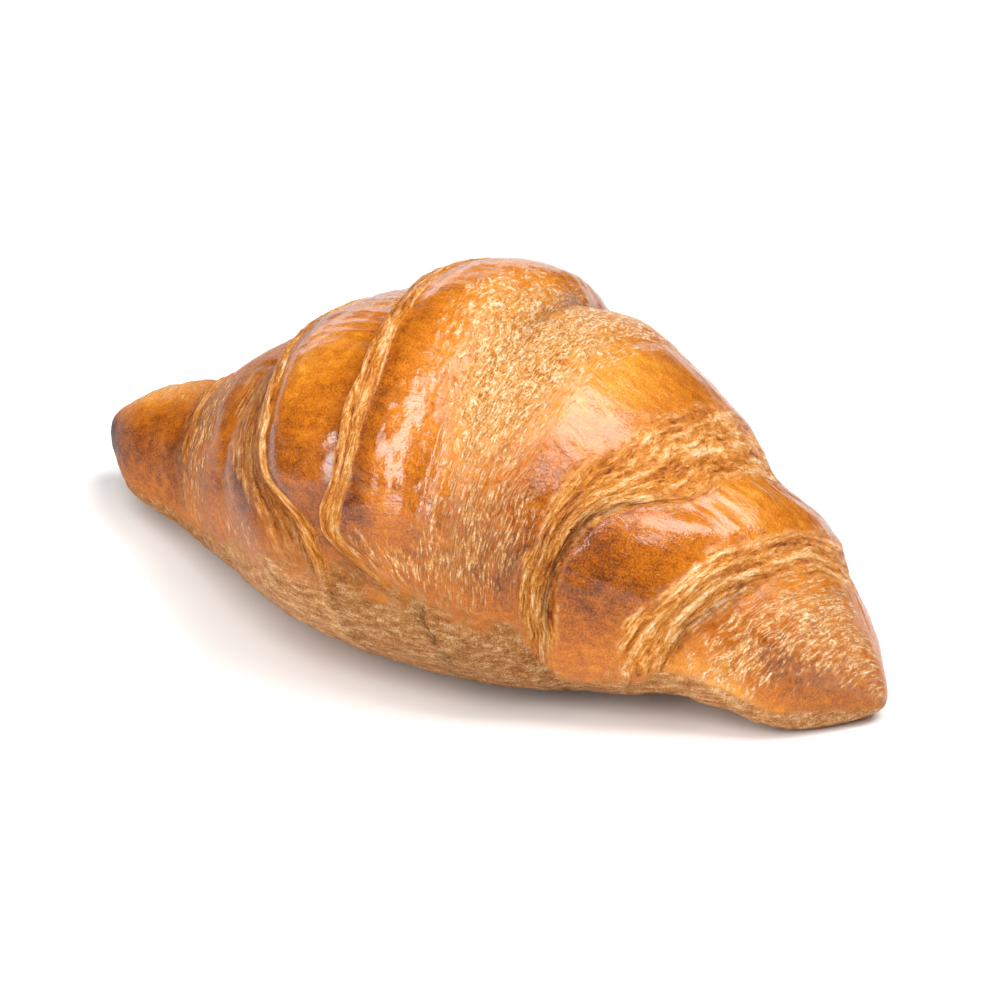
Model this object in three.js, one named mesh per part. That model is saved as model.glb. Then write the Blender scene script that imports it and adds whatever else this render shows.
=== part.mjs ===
// A butter croissant: one rolled, curved piece of laminated dough, baked lying on a flat tray.
// Millimetres. +X runs from the thin tip to the blunt tip, +Z is up, and -Y is the bulging side.
// The origin is the middle of the bounding box, on the plane that the croissant lies on.
import * as THREE from 'three';

const HALF_LENGTH = 80;
const TIP_BEND = 8.5;
const UPPER_ROUNDNESS = 2.1;
const LOWER_ROUNDNESS = 2.65;
const THIN_TIP_RADIUS = 4;
const BLUNT_TIP_RADIUS = 13;
const COLUMNS = 56;
const CREASE_FALLOFF = 1.6;
const CRUST_COLOUR = 0xd9832b;
const CRUST_ROUGHNESS = 0.42;

// Cross-sections along the roll: where they are, how wide and high the dough is there,
// and how far its underside is from the tray. A negative gap is dough that spread flat on the tray.
const SECTION_AT = [-80, -70, -50, -30, -10, 8, 25, 40, 55, 68, 80];
const HALF_WIDTH = [2.2, 9.5, 16, 25.7, 35.5, 36, 34, 27.5, 21, 15, 6];
const HEIGHT = [4, 17.6, 28, 46, 59.2, 65.7, 58.5, 49, 37, 27, 11.5];
const TRAY_GAP = [9, 2.6, 1.8, 0, -0.4, -1.6, -0.6, 0.8, 2, -1.2, -2];

// Angles around the roll at which each wrap's edge is placed: 0 is the top, 90 the bulging side.
const EDGE_ANGLES = [-180, -135, -90, -45, 0, 30, 60, 75, 90, 110, 140];

// The same value at each of EDGE_ANGLES.
const even = (value) => EDGE_ANGLES.map(() => value);

// The edges of the wraps. The dough climbs in steps from each tip to the middle, so an edge on
// the thin-tip half has its upper layer on the +X side, and one on the blunt half on the -X side.
// under is the width of the slope that dips below the edge, over is the width of its rounded lip.
const WRAP_EDGES = [
  {
    name: 'thin tip wrap', upperSide: 1, under: 7, over: even(2),
    at: [-45, -47, -51, -53.5, -53, -50.5, -48, -47.2, -46.6, -45, -44],
    depth: [0, 0.2, 1.2, 1.8, 1.8, 1.5, 1.2, 1, 0.7, 0.3, 0],
  },
  {
    name: 'low ridge', upperSide: 1, under: 5, over: even(2.5),
    at: [-26, -27, -31, -33, -32, -30.5, -30, -29.4, -28.4, -26.5, -25],
    depth: [0, 0.1, 0.6, 1, 0.9, 0.9, 0.9, 0.9, 0.6, 0.2, 0],
  },
  {
    name: 'second wrap', upperSide: 1, under: 14, over: even(1.8),
    at: [-6, -9, -18, -25.5, -28, -26.5, -20.5, -18, -7.8, 0, 2],
    depth: [0, 0.2, 2.7, 3.8, 3.8, 3.6, 3.6, 4.2, 4.2, 0.6, 0],
  },
  {
    name: 'middle wrap', upperSide: 1, under: 20, over: even(1.8),
    at: [10, 8, 1, -4, -6.5, -2.8, 0, 0.4, -0.2, 16, 18],
    depth: [0, 0.3, 2.8, 5.4, 5.8, 4.4, 3, 2.8, 2.6, 0.3, 0],
  },
  {
    name: 'stretch crease', upperSide: 1, under: 3, over: even(3),
    at: [16, 16, 14, 14, 14.5, 16.6, 17.6, 17.6, 17.6, 19, 20],
    depth: [0, 0, 0, 0.2, 0.6, 0.9, 0.8, 0.5, 0.2, 0, 0],
  },
  {
    name: 'middle wrap, blunt half', upperSide: -1, under: 9, over: even(6),
    at: [20, 19, 17, 16.2, 18.8, 20.5, 21.5, 21.5, 21.5, 21.5, 22],
    depth: [0, 0.2, 2.6, 3.8, 1.7, 0.7, 0.4, 0.3, 0.1, 0, 0],
  },
  {
    name: 'shallow crease', upperSide: -1, under: 4, over: even(4),
    at: [28, 28, 29, 30, 28.6, 29, 27.5, 27, 27, 27, 27],
    depth: [0, 0, 0.1, 0.3, 0.8, 0.9, 0.7, 0.4, 0.1, 0, 0],
  },
  {
    name: 'second wrap, blunt half', upperSide: -1, under: 9,
    over: [4, 6, 8, 9, 9, 10, 4.5, 3.4, 3.2, 3, 3],
    at: [36, 42, 50, 54, 52, 50.3, 41, 38.6, 37.4, 37, 36],
    depth: [0, 0.3, 2.5, 3, 2.5, 2.6, 3, 2.6, 1.8, 0.9, 0.3],
  },
  {
    name: 'blunt tip wrap', upperSide: -1, under: 8,
    over: [4, 5, 6, 5, 4, 4.5, 5, 5.5, 6, 6.5, 6],
    at: [48, 54, 64, 70, 67, 64.8, 61, 58.8, 56.3, 53.5, 50],
    depth: [0, 0.2, 1.4, 1.8, 1.7, 1.9, 2, 1.9, 1.6, 1.3, 0.6],
  },
];

// How many rows of faces lie between neighbouring edges, from the thin tip to the blunt tip.
const ROWS_BETWEEN_EDGES = [11, 5, 4, 8, 5, 3, 4, 7, 5, 8];

/** A smooth curve through the values, read at any place between the first and last knot. */
function smoothCurve(knots, values) {
  const curve = new THREE.CubicInterpolant(knots, values, 1);
  return (place) => curve.evaluate(place)[0];
}

/** A smooth curve around the roll: what it has at 180 degrees joins what it has at -180. */
function curveAround(values) {
  const turned = (angles, turn) => angles.map((angle) => angle + turn);
  const knots = [
    ...turned(EDGE_ANGLES.slice(-2), -360),
    ...EDGE_ANGLES,
    ...turned(EDGE_ANGLES.slice(0, 2), 360),
  ];
  return smoothCurve(knots, [...values.slice(-2), ...values, ...values.slice(0, 2)]);
}

const halfWidthAt = smoothCurve(SECTION_AT, HALF_WIDTH);
const heightAt = smoothCurve(SECTION_AT, HEIGHT);
const trayGapAt = smoothCurve(SECTION_AT, TRAY_GAP);
const edges = WRAP_EDGES.map((edge) => ({
  ...edge,
  placeAt: curveAround(edge.at),
  depthAt: curveAround(edge.depth),
  overAt: curveAround(edge.over),
}));

/** The share of the cross-section that is left where a tip rounds off. */
function tipRounding(x) {
  const past = (distance, radius) => THREE.MathUtils.clamp(distance / radius + 1, 0, 1);
  const thin = past(-HALF_LENGTH - x, THIN_TIP_RADIUS);
  const blunt = past(x - HALF_LENGTH, BLUNT_TIP_RADIUS);
  return Math.sqrt((1 - thin ** 2) * (1 - blunt ** 2));
}

/** How deep the wraps' creases cut the round dough at a place along and around the roll. */
function creaseDepth(x, angle) {
  let depth = 0;
  for (const edge of edges) {
    const above = (x - edge.placeAt(angle)) * edge.upperSide;
    const rise = THREE.MathUtils.clamp(above / edge.overAt(angle), 0, 1);
    const lip = 1 - Math.sqrt(1 - (1 - rise) ** 2);
    const slope = THREE.MathUtils.clamp(1 + above / edge.under, 0, 1) ** CREASE_FALLOFF;
    depth += Math.max(0, edge.depthAt(angle)) * (above > 0 ? lip : slope);
  }
  return depth;
}

/** A point of the crust: a rounded cross-section, dented by the creases and flat on the tray. */
function crustPoint(x, angle) {
  const rounding = tipRounding(x);
  const radians = THREE.MathUtils.degToRad(angle);
  const sideways = Math.sin(radians);
  const upwards = Math.cos(radians);
  const halfHeight = heightAt(x) / 2;
  const roundness = upwards >= 0 ? UPPER_ROUNDNESS : LOWER_ROUNDNESS;
  const across = Math.abs(sideways) / (halfWidthAt(x) * rounding);
  const along = Math.abs(upwards) / (halfHeight * rounding);
  const round = (across ** roundness + along ** roundness) ** (-1 / roundness);
  const reach = round - creaseDepth(x, angle) * Math.min(1, rounding);
  const y = TIP_BEND * (x / HALF_LENGTH) ** 2 - reach * sideways;
  const z = Math.max(0, trayGapAt(x) + halfHeight + reach * upwards);
  return new THREE.Vector3(x, y, z);
}

/** The middle of a tip, where its faces meet. */
function tipPoint(x) {
  return new THREE.Vector3(x, TIP_BEND, trayGapAt(x) + heightAt(x) / 2);
}

/** The rows of the crust: each follows the wraps' edges and crowds towards their creases. */
function rowPlaces(angle) {
  const stops = [-HALF_LENGTH, ...edges.map((edge) => edge.placeAt(angle)), HALF_LENGTH];
  const places = [];
  ROWS_BETWEEN_EDGES.forEach((rows, gap) => {
    for (let row = 0; row < rows; row += 1) {
      const share = (1 - Math.cos((Math.PI * row) / rows)) / 2;
      places.push(THREE.MathUtils.lerp(stops[gap], stops[gap + 1], share));
    }
  });
  return places.slice(1);
}

/** The closed crust: rings of faces around the roll, and a fan of faces at each tip. */
function croissantGeometry() {
  const rings = [];
  for (let column = 0; column < COLUMNS; column += 1) {
    const angle = (360 * column) / COLUMNS - 180;
    rings.push(rowPlaces(angle).map((x) => crustPoint(x, angle)));
  }
  const rows = rings[0].length;
  const points = [...rings.flat(), tipPoint(-HALF_LENGTH), tipPoint(HALF_LENGTH)];
  const thinTip = points.length - 2;
  const bluntTip = points.length - 1;
  const faces = [];
  for (let column = 0; column < COLUMNS; column += 1) {
    const here = column * rows;
    const next = ((column + 1) % COLUMNS) * rows;
    faces.push(thinTip, next, here);
    for (let row = 0; row < rows - 1; row += 1) {
      faces.push(here + row, next + row, here + row + 1);
      faces.push(here + row + 1, next + row, next + row + 1);
    }
    faces.push(bluntTip, here + rows - 1, next + rows - 1);
  }
  const geometry = new THREE.BufferGeometry().setFromPoints(points);
  geometry.setIndex(faces);
  geometry.computeVertexNormals();
  return geometry;
}

/** Moves the geometry so that the middle of its bounding box's underside is the origin. */
function standOnOrigin(geometry) {
  geometry.computeBoundingBox();
  const centre = geometry.boundingBox.getCenter(new THREE.Vector3());
  geometry.translate(-centre.x, -centre.y, -geometry.boundingBox.min.z);
  return geometry;
}

const crust = new THREE.MeshStandardMaterial({
  color: CRUST_COLOUR,
  roughness: CRUST_ROUGHNESS,
  metalness: 0,
});
const croissant = new THREE.Mesh(standOnOrigin(croissantGeometry()), crust);
croissant.name = 'croissant';

const group = new THREE.Group();
group.add(croissant);

export default group;
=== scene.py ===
"""A butter croissant: egg-washed laminated dough, rolled, bent and baked on a tray.

The shape is worked out in millimetres on a grid whose rows follow the edges of the wraps.
Geometry Nodes then add the relief of the crust and the flakes along the open layers.
"""

import logging
import math
from dataclasses import dataclass, field
from enum import Enum
from functools import partial

import bpy
import numpy as np
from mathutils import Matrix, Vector


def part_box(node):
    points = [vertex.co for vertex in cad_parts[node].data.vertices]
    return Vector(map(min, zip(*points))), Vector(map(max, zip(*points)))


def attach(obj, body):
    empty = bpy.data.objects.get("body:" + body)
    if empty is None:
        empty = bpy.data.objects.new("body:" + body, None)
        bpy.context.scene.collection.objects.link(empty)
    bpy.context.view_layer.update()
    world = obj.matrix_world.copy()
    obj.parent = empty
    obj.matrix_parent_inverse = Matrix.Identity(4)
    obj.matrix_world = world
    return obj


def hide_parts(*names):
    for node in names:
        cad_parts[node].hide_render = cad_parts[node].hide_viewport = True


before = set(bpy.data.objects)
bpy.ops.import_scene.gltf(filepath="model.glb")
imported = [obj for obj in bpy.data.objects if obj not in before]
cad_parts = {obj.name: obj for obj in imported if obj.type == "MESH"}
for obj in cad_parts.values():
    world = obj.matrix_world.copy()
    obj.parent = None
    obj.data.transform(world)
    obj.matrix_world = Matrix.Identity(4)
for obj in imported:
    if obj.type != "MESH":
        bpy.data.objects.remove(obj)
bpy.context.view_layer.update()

LOG = logging.getLogger("croissant")
MM = 0.001
NODE = "croissant"
Colour = tuple[float, float, float, float]
Ramp = tuple[tuple[float, str], ...]
Parts = tuple[tuple[str, float], ...]
Sockets = dict[str, bpy.types.NodeSocket]


def srgb(code: str) -> Colour:
    """Turns an sRGB hex colour into a linear one.

    Args:
        code: Six hex digits, such as "D9791E".

    Returns:
        Linear red, green and blue, and an alpha of 1.
    """
    values = [int(code[i:i + 2], 16) / 255 for i in (0, 2, 4)]
    linear = [v / 12.92 if v <= 0.04045 else ((v + 0.055) / 1.055) ** 2.4 for v in values]
    return (linear[0], linear[1], linear[2], 1.0)


def add_node(tree: bpy.types.NodeTree, kind: str, *inputs: object, out: int = 0,
             named: dict | None = None, ramp: Ramp = (),
             **settings: object) -> bpy.types.NodeSocket:
    """Adds a node with its settings and links.

    Args:
        tree: The node tree.
        kind: The node's type, such as "ShaderNodeMix".
        inputs: Values or output sockets for the first inputs, in order, or None to leave one.
        out: Which output to return.
        named: Values or output sockets for inputs by name or number.
        ramp: Places and sRGB hex colours of a colour ramp.
        settings: Properties of the node.

    Returns:
        The chosen output socket, or the first input of a node without outputs.
    """
    node = tree.nodes.new(kind)
    for name, value in settings.items():
        setattr(node, name, value)
    if ramp:
        elements = node.color_ramp.elements
        while len(elements) < len(ramp):
            elements.new(1.0)
        for element, (place, code) in zip(elements, ramp):
            element.position = place
            element.color = srgb(code)
    given = {i: value for i, value in enumerate(inputs) if value is not None} | (named or {})
    for name, value in given.items():
        if isinstance(value, bpy.types.NodeSocket):
            tree.links.new(value, node.inputs[name])
        else:
            node.inputs[name].default_value = value
    return node.outputs[out] if node.outputs else node.inputs[0]


def smooth_curve(place: np.ndarray, knots: list[float], values: list[float]) -> np.ndarray:
    """Reads a smooth curve through the values.

    Args:
        place: Where to read it.
        knots: Rising places of the values.
        values: What the curve has at the knots.

    Returns:
        The curve's value at each place, held beyond the first and last knot.
    """
    xs, ys = np.asarray(knots, float), np.asarray(values, float)
    secants = np.diff(ys) / np.diff(xs)
    slopes = np.concatenate([secants[:1], (secants[:-1] + secants[1:]) / 2, secants[-1:]])
    at = np.clip(place, xs[0], xs[-1])
    i = np.clip(np.searchsorted(xs, at, side="right") - 1, 0, len(xs) - 2)
    width = xs[i + 1] - xs[i]
    p = (at - xs[i]) / width
    start = (2 * p ** 3 - 3 * p ** 2 + 1) * ys[i] + (p ** 3 - 2 * p ** 2 + p) * width * slopes[i]
    end = (3 * p ** 2 - 2 * p ** 3) * ys[i + 1] + (p ** 3 - p ** 2) * width * slopes[i + 1]
    return start + end


def smoothstep(low: float, high: float, value: np.ndarray) -> np.ndarray:
    """Goes smoothly from 0 at low to 1 at high."""
    t = np.clip((value - low) / (high - low), 0, 1)
    return t * t * (3 - 2 * t)


# Angles around the roll at which each wrap's edge is placed: 0 is the top, 90 the bulging side.
EDGE_ANGLES = [-180, -135, -90, -45, 0, 30, 60, 75, 90, 110, 140]


def around(angle: np.ndarray, values: tuple[float, ...]) -> np.ndarray:
    """Reads values given at EDGE_ANGLES as a smooth curve that closes around the roll.

    Args:
        angle: Angles in degrees, from -180 to 180.
        values: One value for each of EDGE_ANGLES.

    Returns:
        The value at each angle.
    """
    knots = [a - 360 for a in EDGE_ANGLES[-2:]] + EDGE_ANGLES + [a + 360 for a in EDGE_ANGLES[:2]]
    return smooth_curve(angle, knots, list(values[-2:]) + list(values) + list(values[:2]))


class EdgeKind(Enum):
    """How the edge of a wrap baked."""

    CREASE = "a shallow dent"
    RIM = "a thick rim of layers with a steep face"
    OPEN_LAYERS = "a slope of opened layers"


@dataclass(frozen=True)
class WrapEdge:
    """One edge of the rolled dough. Lists give a value at each of EDGE_ANGLES, in millimetres.

    Attributes:
        name: What a baker would call it.
        kind: How it baked.
        upper_side: 1 if the upper layer is on the +X side of the crease, -1 if on the -X side.
        at: Where the crease is along X.
        depth: How deep the crease is.
        over: How wide the rim or slope above the crease is.
        under: How wide the slope below the crease is.
        undercut: How far the crease reaches in under the rim.
        layers: How many layers show above the crease.
        rows: How many rows of faces the rim or slope has.
        open_under: How much the layers below the crease have opened, from 0 to 1.
    """

    name: str
    kind: EdgeKind
    upper_side: int
    at: tuple[float, ...]
    depth: tuple[float, ...]
    over: tuple[float, ...]
    under: float
    undercut: float = 0.0
    layers: int = 3
    rows: int = 0
    open_under: float = 0.0

    def span(self, angle: np.ndarray) -> tuple[np.ndarray, np.ndarray]:
        """Finds the rows of faces that belong to this edge.

        Args:
            angle: The angle of each column.

        Returns:
            Their lowest and highest X at each column.
        """
        crease = around(angle, self.at)
        if self.rows == 0:
            return crease, crease
        top = crease + self.upper_side * around(angle, self.over)
        return np.minimum(crease, top), np.maximum(crease, top)


def even(value: float) -> tuple[float, ...]:
    """The same value at each of EDGE_ANGLES."""
    return (value,) * len(EDGE_ANGLES)


WRAP_EDGES = (
    WrapEdge(
        "thin tip wrap", EdgeKind.RIM, 1,
        at=(-45, -47, -51, -53.5, -53, -50.5, -48, -47.2, -46.6, -45, -44),
        depth=(0, 0.2, 1.2, 1.8, 1.8, 1.5, 1.2, 1.0, 0.7, 0.3, 0),
        over=even(3.5), under=7, undercut=0.3, layers=3, rows=8),
    WrapEdge(
        "low ridge", EdgeKind.CREASE, 1,
        at=(-26, -27, -31, -33, -32, -30.5, -30, -29.4, -28.4, -26.5, -25),
        depth=(0, 0.1, 0.6, 1.0, 0.9, 0.9, 0.9, 0.9, 0.6, 0.2, 0),
        over=even(2.5), under=5),
    WrapEdge(
        "second wrap", EdgeKind.RIM, 1,
        at=(-6, -9, -18, -25.5, -28, -26.5, -20.5, -18, -7.8, 0, 2),
        depth=(0, 0.2, 2.7, 3.8, 3.8, 3.6, 3.6, 4.2, 4.2, 0.6, 0),
        over=(4, 4, 4, 4, 4, 4, 4, 4, 3.6, 2.6, 2.4), under=14,
        undercut=1.5, layers=4, rows=18, open_under=0.65),
    WrapEdge(
        "middle wrap", EdgeKind.RIM, 1,
        at=(10, 8, 1, -4, -6.5, -2.8, 0, 0.4, -0.2, 16, 18),
        depth=(0, 0.3, 2.8, 5.4, 5.8, 4.4, 3.0, 2.8, 2.6, 0.3, 0),
        over=(5, 5, 5, 5, 5, 5, 5, 4.4, 4, 3, 2.4), under=20,
        undercut=1.3, layers=4, rows=18),
    WrapEdge(
        "stretch crease", EdgeKind.CREASE, 1,
        at=(16, 16, 14, 14, 14.5, 16.6, 17.6, 17.6, 17.6, 19, 20),
        depth=(0, 0, 0, 0.2, 0.6, 0.9, 0.8, 0.5, 0.2, 0, 0),
        over=even(3), under=3),
    WrapEdge(
        "middle wrap, blunt half", EdgeKind.CREASE, -1,
        at=(20, 19, 17, 16.2, 18.8, 20.5, 21.5, 21.5, 21.5, 21.5, 22),
        depth=(0, 0.2, 2.6, 3.8, 1.7, 0.7, 0.4, 0.3, 0.1, 0, 0),
        over=even(6), under=9),
    WrapEdge(
        "shallow crease", EdgeKind.CREASE, -1,
        at=(28, 28, 29, 30, 28.6, 29, 27.5, 27, 27, 27, 27),
        depth=(0, 0, 0.1, 0.3, 0.8, 0.9, 0.7, 0.4, 0.1, 0, 0),
        over=even(4), under=4),
    WrapEdge(
        "second wrap, blunt half", EdgeKind.OPEN_LAYERS, -1,
        at=(36, 42, 50, 54, 52, 50.3, 41, 38.6, 37.4, 37, 36),
        depth=(0, 0.3, 2.5, 3.0, 2.5, 2.6, 3.0, 2.6, 1.8, 0.9, 0.3),
        over=(4, 6, 8, 9, 9, 10, 4.5, 3.4, 3.2, 3, 3), under=9,
        undercut=0.4, layers=6, rows=26),
    WrapEdge(
        "blunt tip wrap", EdgeKind.OPEN_LAYERS, -1,
        at=(48, 54, 64, 70, 67, 64.8, 61, 58.8, 56.3, 53.5, 50),
        depth=(0, 0.2, 1.4, 1.8, 1.7, 1.9, 2.0, 1.9, 1.6, 1.3, 0.6),
        over=(4, 5, 6, 5, 4, 4.5, 5, 5.5, 6, 6.5, 6), under=8,
        undercut=0.5, layers=6, rows=22),
)

# Rows of faces before, between and after the wraps' edges, from the thin tip to the blunt one.
ROWS_BETWEEN = (38, 26, 10, 32, 24, 7, 14, 14, 12, 30)

# Millimetres: keep a tip's cross-section from vanishing.
SMALLEST = 1e-6
SHORTEST_REACH = 0.02


@dataclass(frozen=True)
class Patch:
    """A soft oval place on the crust, in millimetres along X and degrees around the roll.

    Attributes:
        x: Its middle along X.
        angle: Its middle around the roll.
        length: Its reach along X.
        spread: Its reach around the roll.
        amount: What it adds.
    """

    x: float
    angle: float
    length: float
    spread: float
    amount: float

    def at(self, x: np.ndarray, angle: np.ndarray) -> np.ndarray:
        """What the patch adds at each place."""
        turn = (angle - self.angle + 180) % 360 - 180
        return self.amount * np.exp(-((x - self.x) / self.length) ** 2 - (turn / self.spread) ** 2)


# The corner of the outermost wrap, which hangs down over the belly.
FLAP = Patch(51, 110, 4.5, 8, 1.3)

# Where the oven browned the crust more (positive) or left it golden (negative).
BROWNING = (
    Patch(-81, 88, 7, 42, 2.2), Patch(-67, 75, 10, 26, 0.42), Patch(-60, 45, 8, 24, 0.3),
    Patch(-66, 5, 12, 38, -0.6), Patch(-50, 75, 6, 26, 0.35), Patch(-44, 60, 3, 30, 0.25),
    Patch(-14, 40, 7, 20, -0.4), Patch(-19, 66, 6, 20, 0.4), Patch(-38, 50, 8, 40, 0.3),
    Patch(-25, 40, 3, 40, 0.3), Patch(-14, 82, 9, 14, 0.35), Patch(-21, 40, 3, 40, 0.25),
    Patch(5, 75, 4, 26, 0.35), Patch(4, 40, 3, 24, 0.15), Patch(12, 70, 4, 26, -0.25),
    Patch(10, 0, 7, 25, -0.35), Patch(22, 20, 7, 50, -0.5), Patch(33, 5, 8, 30, -0.5),
    Patch(33, 80, 11, 20, 0.32), Patch(35, 58, 7, 12, 0.15), Patch(55, 5, 5, 35, -0.3),
    Patch(46, 76, 7, 26, 0.24), Patch(66, 20, 8, 40, -0.2), Patch(70, 75, 7, 22, 0.3),
    Patch(60, 110, 8, 18, -0.6), Patch(-30, -60, 18, 40, 0.3), Patch(8, -70, 10, 30, 0.4),
    Patch(35, -80, 12, 30, 0.3), Patch(62, -70, 10, 35, 0.3), Patch(-62, -70, 12, 40, 0.35),
    Patch(78, 40, 5, 60, 0.15), Patch(0, 84, 60, 20, 0.12), Patch(-28, 84, 12, 24, 0.15),
    Patch(20, 80, 10, 18, 0.2), Patch(60, 90, 8, 20, 0.15), Patch(20, 130, 60, 18, -0.15),
)

# Where the dough stretched and its skin broke into pale streaks.
STRETCHED = (
    Patch(23, 32, 6, 30, 1.2), Patch(24, -10, 6, 30, 0.7), Patch(14, 8, 6, 24, 0.6),
    Patch(24, 82, 6, 12, 0.35), Patch(60, 105, 4, 16, 0.5), Patch(-57, 8, 5, 22, 0.25),
    Patch(73, 20, 7, 50, 0.65), Patch(68, 50, 6, 24, 0.3), Patch(24, -70, 7, 40, 0.8),
    Patch(46, 30, 5, 20, 0.4), Patch(-40, -60, 5, 40, 0.5), Patch(-41, 58, 5, 50, 0.5),
    Patch(-69, -8, 9, 30, 0.5), Patch(30, 72, 6, 14, 0.35), Patch(64, 85, 4, 20, 0.5),
    Patch(16, 95, 14, 9, 0.36), Patch(-22, 98, 12, 8, 0.25), Patch(-12, 0, 14, 10, 0.3),
)


@dataclass
class DoughRoll:
    """The whole roll of dough. Sizes are in millimetres, angles in degrees.

    Attributes:
        half_length: From the middle to a tip along X.
        tip_bend: How far the tips bend towards +Y.
        upper_roundness: Exponent of the cross-section's upper half, 2 for an ellipse.
        lower_roundness: The same for the lower half.
        thin_tip_radius: Length over which the thin tip rounds off.
        blunt_tip_radius: The same for the blunt tip.
        columns: How many columns of faces go around the roll.
        sole_stretch: The share of the turn that widens the columns towards the sole.
        section_at: Where the cross-sections are along X.
        half_width: Half the width of each.
        height: The height of each.
        tray_gap: How far the underside of each is from the tray.
    """

    half_length: float = 80
    tip_bend: float = 8.5
    upper_roundness: float = 2.1
    lower_roundness: float = 2.65
    thin_tip_radius: float = 4
    blunt_tip_radius: float = 13
    columns: int = 316
    sole_stretch: float = 0.18
    section_at: list[float] = field(
        default_factory=lambda: [-80, -70, -50, -30, -10, 8, 25, 40, 55, 68, 80])
    half_width: list[float] = field(
        default_factory=lambda: [2.2, 9.5, 16, 25.7, 35.5, 36, 34, 27.5, 21, 15, 6])
    height: list[float] = field(
        default_factory=lambda: [4, 17.6, 28, 46, 59.2, 65.7, 58.5, 49, 37, 27, 11.5])
    tray_gap: list[float] = field(
        default_factory=lambda: [9, 2.6, 1.8, 0, -0.4, -1.6, -0.6, 0.8, 2, -1.2, -2])

    def angles(self) -> np.ndarray:
        """The angle of each column: close together where the roll shows, wider on the sole."""
        turn = np.linspace(-1, 1, self.columns + 1)[:-1]
        return 180 * (turn * (1 - self.sole_stretch) + self.sole_stretch * turn ** 7)

    def tip_rounding(self, x: np.ndarray) -> np.ndarray:
        """Rounds off the tips.

        Args:
            x: Places along X.

        Returns:
            The share of the cross-section that is left at each place.
        """
        thin = np.clip((-self.half_length - x) / self.thin_tip_radius + 1, 0, 1)
        blunt = np.clip((x - self.half_length) / self.blunt_tip_radius + 1, 0, 1)
        return np.sqrt((1 - thin ** 2) * (1 - blunt ** 2))

    def rows(self, angle: np.ndarray) -> tuple[np.ndarray, np.ndarray]:
        """Lays out the rows, which follow the wraps' edges.

        Args:
            angle: The angle of each column.

        Returns:
            The X of each row at each column, and each row's mean X.
        """
        spans = [edge.span(angle) for edge in WRAP_EDGES]
        ends = np.full_like(angle, self.half_length)
        starts = [-ends] + [high for _, high in spans]
        stops = [low for low, _ in spans] + [ends]
        rows: list[np.ndarray] = []
        for gap, count in enumerate(ROWS_BETWEEN):
            shares = np.arange(count) / count
            if gap == 0:
                shares = 1 - np.cos(shares * math.pi / 2) ** 0.8
            if gap == len(ROWS_BETWEEN) - 1:
                shares = np.sin(shares * math.pi / 2) ** 1.1
            rows += [starts[gap] + (stops[gap] - starts[gap]) * share for share in shares]
            if gap < len(WRAP_EDGES) and WRAP_EDGES[gap].rows:
                low, high = spans[gap]
                within = np.arange(WRAP_EDGES[gap].rows) / WRAP_EDGES[gap].rows
                rows += [low + (high - low) * share for share in within]
        grid = np.array(rows[1:])
        return grid, grid.mean(axis=1)

    def place(self, x: np.ndarray, angle: np.ndarray, sink: np.ndarray) -> np.ndarray:
        """Points of the crust.

        Args:
            x: Where each point is along X.
            angle: Its angle around the roll.
            sink: How far it lies below the round cross-section.

        Returns:
            The points, in millimetres, with the coordinates last.
        """
        rounding = self.tip_rounding(x)
        radians = np.radians(angle)
        sideways, upwards = np.sin(radians), np.cos(radians)
        half_height = smooth_curve(x, self.section_at, self.height) / 2
        half_width = smooth_curve(x, self.section_at, self.half_width)
        power = np.where(upwards >= 0, self.upper_roundness, self.lower_roundness)
        across = np.abs(sideways) / np.maximum(half_width * rounding, SMALLEST)
        along = np.abs(upwards) / np.maximum(half_height * rounding, SMALLEST)
        reach = (across ** power + along ** power) ** (-1 / power)
        reach = np.maximum(reach - sink * rounding, SHORTEST_REACH)
        y = self.tip_bend * (x / self.half_length) ** 2 - reach * sideways
        gap = smooth_curve(x, self.section_at, self.tray_gap)
        z = np.maximum(gap + half_height + reach * upwards, 0)
        return np.stack([x, y, z], axis=-1)


# The dough below a crease sinks with this power of the way to it.
CREASE_FALLOFF = 1.6

# Degrees around the roll between which something fades in, or out where they fall.
SHARP_EDGES_END = (116, 98)
CRACK_START, CRACK_END = (34, 52), (112, 98)
OPEN_UNDER_START, OPEN_UNDER_END = (15, 50), (122, 104)
GLOSS_END = (70, 92)

# Depths in millimetres between which a crease gets painted shade.
PAINTED_SHADE_DEPTHS = (0.6, 1.4)

# Millimetres above the crease between which the opened layers begin.
SLOPE_FOOT, RIM_FOOT = (-2.0, 0.5), (-0.7, 0)

# Shares of the width above the crease between which the opened layers end.
SLOPE_TOP, RIM_TOP = (1.5, 0.7), (1.12, 0.92)

# The share of a step between which it rises.
STEP_RISE = (0.35, 0.95)

# Shares of the slope below a crease between which its layers open.
OPENED_BELOW = (0.85, 0.45)

# Added to an edge's number to seed each of its uneven curves.
DEPTH_SEED, LAYER_SEED, FADE_SEED, TUCK_SEED, CRACK_SEED = 20, 40, 60, 80, 90
FOLD_SEED, BELLY_SEED = 7, 11


@dataclass(frozen=True)
class Dent:
    """The dent of one wrap edge, in millimetres at every place of the grid.

    Attributes:
        edge: The edge.
        number: Its place in the list, which seeds its unevenness.
        above: How far each place is above the crease along X.
        width: How wide the rim or slope above the crease is.
        depth: How deep the crease is.
        strength: How sharp the edge is, from 0 to 1.
        slope: How far the dough below the crease has sunk, from 0 to 1.
    """

    edge: WrapEdge
    number: int
    above: np.ndarray
    width: np.ndarray
    depth: np.ndarray
    strength: np.ndarray
    slope: np.ndarray


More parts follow.
